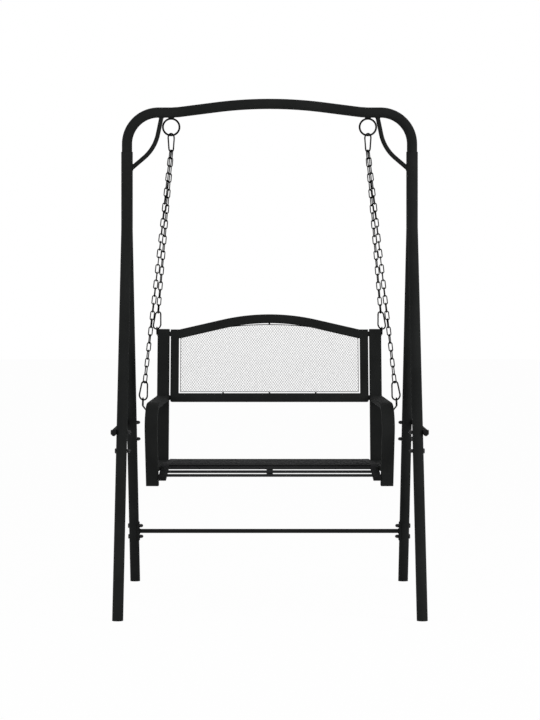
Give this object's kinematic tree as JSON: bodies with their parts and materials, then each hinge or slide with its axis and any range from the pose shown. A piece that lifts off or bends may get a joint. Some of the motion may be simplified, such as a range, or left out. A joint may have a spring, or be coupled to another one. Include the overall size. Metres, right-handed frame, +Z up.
{
  "type": "porch swing",
  "caption": "Two-seat porch swing: a slatted bench with a mesh back and arms, hung by chains and snap hooks from an A-frame stand with an arched top bar.",
  "frame": {"origin": "on the ground, under the middle of the stand", "axes": "+Z up, the sitter faces -Y, +X to the right seen from the front"},
  "size_m": [1.1208, 1.1356, 1.8305],
  "materials": {
    "powder_coat": "satin black powder coat",
    "plastic": "matte black",
    "hardware": "black coated fasteners"
  },
  "bodies": {
    "stand": {"top_bar": "powder_coat", "eye_rings": "powder_coat", "leg_head_left": "powder_coat", "leg_head_right": "powder_coat", "corner_brace_left": "powder_coat", "corner_brace_right": "powder_coat", "upper_leg_front_left": "powder_coat", "upper_leg_front_right": "powder_coat", "upper_leg_rear_left": "powder_coat", "upper_leg_rear_right": "powder_coat", "lower_leg_front_left": "powder_coat", "lower_leg_front_right": "powder_coat", "lower_leg_rear_left": "powder_coat", "lower_leg_rear_right": "powder_coat", "foot_plugs": "plastic", "side_stretcher_left": "powder_coat", "side_stretcher_right": "powder_coat", "stretcher_caps": "plastic", "rear_crossbar": "powder_coat", "crossbar_saddles": "powder_coat", "stand_bolts": "hardware", "stand_dome_nuts": "hardware"},
    "bench": {"top_hook_left": "powder_coat", "top_hook_right": "powder_coat", "front_hook_left": "powder_coat", "front_hook_right": "powder_coat", "rear_hook_left": "powder_coat", "rear_hook_right": "powder_coat", "gate_pins": "hardware", "front_chain_left": "powder_coat", "front_chain_right": "powder_coat", "rear_chain_left": "powder_coat", "rear_chain_right": "powder_coat", "front_lugs": "powder_coat", "rear_lugs": "powder_coat", "back_post_left": "powder_coat", "back_post_right": "powder_coat", "arm_left": "powder_coat", "arm_right": "powder_coat", "side_tube_left": "powder_coat", "side_tube_right": "powder_coat", "seat_rail_left": "powder_coat", "seat_rail_right": "powder_coat", "rear_seat_beam": "powder_coat", "front_seat_strap": "powder_coat", "centre_support": "powder_coat", "seat_slats": "powder_coat", "back_frame": "powder_coat", "mesh_panel": "powder_coat", "mesh_border": "powder_coat", "mesh_tabs": "powder_coat", "back_spacers": "plastic", "bench_bolts": "hardware", "bench_plugs": "plastic"},
    "gate_top_left": {"gate_top_left": "powder_coat"},
    "gate_top_right": {"gate_top_right": "powder_coat"},
    "gate_front_left": {"gate_front_left": "powder_coat"},
    "gate_front_right": {"gate_front_right": "powder_coat"},
    "gate_rear_left": {"gate_rear_left": "powder_coat"},
    "gate_rear_right": {"gate_rear_right": "powder_coat"}
  },
  "joints": [
    {"name": "swing", "type": "hinge", "parent": "stand", "child": "bench", "pos_m": [0, 0, 1.6967], "axis": [1, 0, 0], "range_deg": [-25, 25]},
    {"name": "gate_top_left_hinge", "type": "hinge", "parent": "bench", "child": "gate_top_left", "pos_m": [-0.3514, 0.00965, 1.65169], "axis": [0.766, -0.6428, 0], "range_deg": [0, 20], "stiffness_Nm_per_rad": 0.02, "springref_deg": -5.73},
    {"name": "gate_top_right_hinge", "type": "hinge", "parent": "bench", "child": "gate_top_right", "pos_m": [0.3514, 0.00965, 1.65169], "axis": [0.766, 0.6428, 0], "range_deg": [0, 20], "stiffness_Nm_per_rad": 0.02, "springref_deg": -5.73},
    {"name": "gate_front_left_hinge", "type": "hinge", "parent": "bench", "child": "gate_front_left", "pos_m": [-0.43538, -0.21843, 0.78822], "axis": [-0.5525, 0.818, -0.1601], "range_deg": [0, 20], "stiffness_Nm_per_rad": 0.02, "springref_deg": -5.73},
    {"name": "gate_front_right_hinge", "type": "hinge", "parent": "bench", "child": "gate_front_right", "pos_m": [0.43538, -0.21843, 0.78822], "axis": [-0.5525, -0.818, 0.1601], "range_deg": [0, 20], "stiffness_Nm_per_rad": 0.02, "springref_deg": -5.73},
    {"name": "gate_rear_left_hinge", "type": "hinge", "parent": "bench", "child": "gate_rear_left", "pos_m": [-0.40503, 0.16682, 1.03691], "axis": [-0.5756, 0.7759, 0.2583], "range_deg": [0, 20], "stiffness_Nm_per_rad": 0.02, "springref_deg": -5.73},
    {"name": "gate_rear_right_hinge", "type": "hinge", "parent": "bench", "child": "gate_rear_right", "pos_m": [0.40503, 0.16682, 1.03691], "axis": [-0.5756, -0.7759, -0.2583], "range_deg": [0, 20], "stiffness_Nm_per_rad": 0.02, "springref_deg": -5.73}
  ]
}
